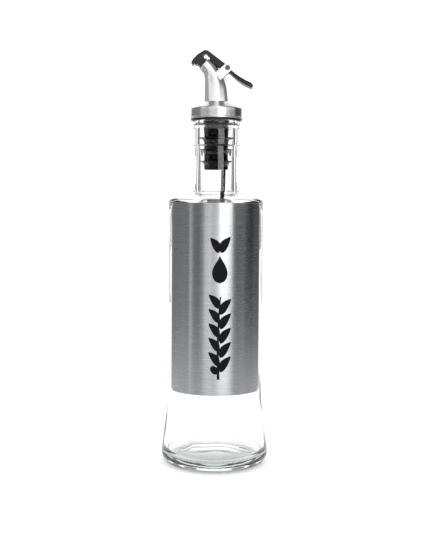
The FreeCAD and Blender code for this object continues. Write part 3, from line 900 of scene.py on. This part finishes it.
def make_print():
    """Plain olive sprig with a droplet above it, in black ink."""
    middle_u = 2.6

    def blade(half):
        return lambda t: 1.15 * half * math.sin(math.pi * t ** 0.8) ** 0.8

    def fruit(half):
        return lambda t: half * math.sqrt(max(0.0, 1 - (2 * t - 1) ** 2))

    def drop(half):
        return lambda t: half * (math.sqrt(max(0.0, 1 - (t / 0.36 - 1) ** 2)) if t < 0.36
                                 else math.cos((t - 0.36) / 0.64 * math.pi / 2) ** 1.3)

    shapes = [leaf((middle_u - 0.6, 56.9), (middle_u + 0.4, 106.4), lambda t: 0.8 - 0.4 * t, bend=0.8)]
    for row in range(5):
        z = 61.4 + 8.6 * row
        shapes.append(leaf((middle_u + 0.4, z), (middle_u + 7.0, z + 9.4), blade(2.1), bend=0.9))
        shapes.append(leaf((middle_u - 0.4, z + 3.6), (middle_u - 6.6, z + 12.0), blade(2.0), bend=-0.9))
    shapes.append(leaf((middle_u - 1.0, 60.4), (middle_u - 5.0, 64.8), fruit(2.1)))
    shapes.append(leaf((middle_u, 114.4), (middle_u, 130.9), drop(4.6)))
    shapes.append(leaf((middle_u + 0.6, 132.4), (middle_u + 6.4, 141.9), blade(2.2), bend=0.9))
    shapes.append(leaf((middle_u - 0.6, 132.4), (middle_u - 5.8, 141.4), blade(2.1), bend=-0.9))
    dress(finish_mesh("sprig_print", joined(shapes)), "printed_ink", "bottle")


def dress_cad_nodes():
    """CAD solids that are shown as they are, with their finished materials."""
    for node, slot in (("plug_core", "black_plastic"), ("adhesive_film", "adhesive_film")):
        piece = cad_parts[node]
        piece.data.materials.clear()
        piece.data.materials.append(MATERIALS[slot])


# ---------------------------------------------------------------- studio

# Camera: sensor and lens in mm, place in metres, angles in degrees.
SENSOR = 36.0
LENS = 62.41
CAMERA_PLACE = (-0.0003, -0.577, 0.16345)
CAMERA_TILT = 4.2               # down
CAMERA_ROLL = 0.37

FLOOR_HALF = 4000               # mm
FLOOR_GREY = (0.86, 0.86, 0.86, 1)
FLOOR_GLOW = 0.28               # keeps the paper white under the object
WORLD_LIGHT = 1.3
BOUNCES = 24                    # enough for four glass walls


def make_camera():
    data = bpy.data.cameras.new("camera")
    data.sensor_width = SENSOR
    data.lens = LENS
    camera = bpy.data.objects.new("camera", data)
    tilt = Matrix.Rotation(math.radians(90 - CAMERA_TILT), 4, "X")
    roll = Matrix.Rotation(math.radians(CAMERA_ROLL), 4, "Z")
    camera.matrix_world = Matrix.Translation(CAMERA_PLACE) @ tilt @ roll
    bpy.context.scene.collection.objects.link(camera)
    bpy.context.scene.camera = camera


def make_floor():
    bm = bmesh.new()
    bmesh.ops.create_grid(bm, x_segments=8, y_segments=8, size=FLOOR_HALF)
    floor = finish_mesh("floor", bm)
    nodes = Nodes("floor_paper")
    nodes.set(Base_Color=FLOOR_GREY, Roughness=0.9, Emission_Color=FLOOR_GREY, Emission_Strength=FLOOR_GLOW)
    floor.data.materials.append(nodes.material)


def glowing(card, level, in_glass):
    """Gives a studio card its light, and lets only glass or only reflections see it."""
    nodes = Nodes(card.name)
    glow = nodes.add("ShaderNodeEmission")
    glow.inputs["Color"].default_value = (1, 1, 1, 1)
    glow.inputs["Strength"].default_value = level
    nodes.link(glow.outputs[0], nodes.output.inputs["Surface"])
    card.data.materials.append(nodes.material)
    card.visible_camera = False
    card.visible_diffuse = False
    card.visible_shadow = False
    card.visible_glossy = not in_glass
    card.visible_transmission = in_glass


def make_card(name, start, end, level, low, high, in_glass, radius):
    """Curved glowing card round the object, seen either through glass or in reflections.

    start and end are degrees round from the front of the object, positive to the right. low, high
    and radius are in metres.
    """
    steps = 12
    bm = bmesh.new()
    pairs = []
    for index in range(steps + 1):
        angle = math.radians(start + (end - start) * index / steps)
        x, y = radius * math.sin(angle), -radius * math.cos(angle)
        pairs.append([bm.verts.new((x / MM, y / MM, z / MM)) for z in (low, high)])
    for (a, b), (c, d) in zip(pairs, pairs[1:]):
        bm.faces.new([a, c, d, b])
    glowing(finish_mesh(name, bm), level, in_glass)


# Cards of each tier that reflections see: (start, end, level), in degrees round from the front.
# The bright room shows where a tier has no card.
BODY_CARDS = (
    (-126, -71, 0.22), (-71, -66, 0.15), (-66, -61.5, 0.24), (-61.5, -56.5, 0.66), (-56.5, -52, 0.26),
    (-52, -48, 0.16), (-48, -38, 0.08), (-38, -34, 0.14), (-34, -29, 0.24), (-29, -25, 0.50),
    (-25, -20, 0.90), (-20, -15, 0.95), (-15, -10, 1.05), (-10, -1, 0.82), (-1, 3, 0.92),
    (3, 8, 1.25), (8, 12, 1.6), (12, 17, 1.72), (17, 22, 1.78), (22, 27, 1.68), (27, 32, 1.45),
    (32, 37, 1.05), (37, 41.5, 0.52), (41.5, 47, 0.14), (47, 59, 0.06), (59, 71, 0.12),
    (71, 98, 0.02), (98, 126, 0.10),
)
NECK_CARDS = ((-140, -57, 0.2), (-57, 8, 0.0), (9, 38, 4.5), (38, 118, 0.0), (118, 140, 0.10))
COLLAR_CARDS = ((-140, -57, 0.25), (-57, -31, 0.35), (60, 76, 0.12), (77, 140, 0.12))
SPOUT_CARDS = ((-150, -72, 0.30), (86, 150, 0.10))
# (name, low, high, cards) of the tiers, in metres. The camera's height decides which tier each
# piece mirrors: the neck the second one, the collar the third and the spout the fourth.
TIERS = (
    ("body", 0.0, 0.19, BODY_CARDS), ("neck", 0.19, 0.242, NECK_CARDS),
    ("collar", 0.242, 0.262, COLLAR_CARDS), ("spout", 0.262, 0.33, SPOUT_CARDS),
    ("top", 0.33, 1.6, BODY_CARDS),
)
# Cards that are seen through glass. The low ones draw the body's dark sides and stay out of the neck.
GLASS_CARDS = ((-79, 128, 0.02), (-128, -101, 0.06), (-151, -141, 0.06), (141, 151, 0.06))
LOW_GLASS_CARDS = ((-168, -157, 0.05), (157, 168, 0.05))
GLASS_TIERS = (("glass", 0.1, 1.2, GLASS_CARDS), ("low_glass", 0.03, 0.165, LOW_GLASS_CARDS))
CARD_RADIUS = 0.35
GLASS_CARD_RADIUS = 0.62


def make_low_card():
    """Grey card lying round the object, seen only in reflections."""
    inner_r, outer_r, low, high = 45, 345, 0.5, 1
    bm = turned([(inner_r, high), (outer_r, high), (outer_r, low), (inner_r, low)], segments=48)
    glowing(finish_mesh("low_card", bm), level=0.85, in_glass=False)


def make_studio():
    make_floor()
    make_low_card()
    for tiers, in_glass, radius in ((TIERS, False, CARD_RADIUS), (GLASS_TIERS, True, GLASS_CARD_RADIUS)):
        for tier, low, high, cards in tiers:
            for number, card in enumerate(cards):
                make_card(f"{tier}_card_{number}", *card, low, high, in_glass, radius)
    world = bpy.data.worlds.new("studio")
    world.use_nodes = True
    world.node_tree.nodes["Background"].inputs["Color"].default_value = (1, 1, 1, 1)
    world.node_tree.nodes["Background"].inputs["Strength"].default_value = WORLD_LIGHT
    scene = bpy.context.scene
    scene.world = world
    scene.view_settings.view_transform = "Standard"
    scene.cycles.max_bounces = BOUNCES
    scene.cycles.transmission_bounces = BOUNCES


make_camera()
MATERIALS = make_materials()
make_bottle()
make_plate()
make_print()
make_collar()
make_washer()
make_stopper()
make_air_tube()
make_spout()
make_pin()
make_spring()
make_lever()
make_seal()
dress_cad_nodes()
make_studio()
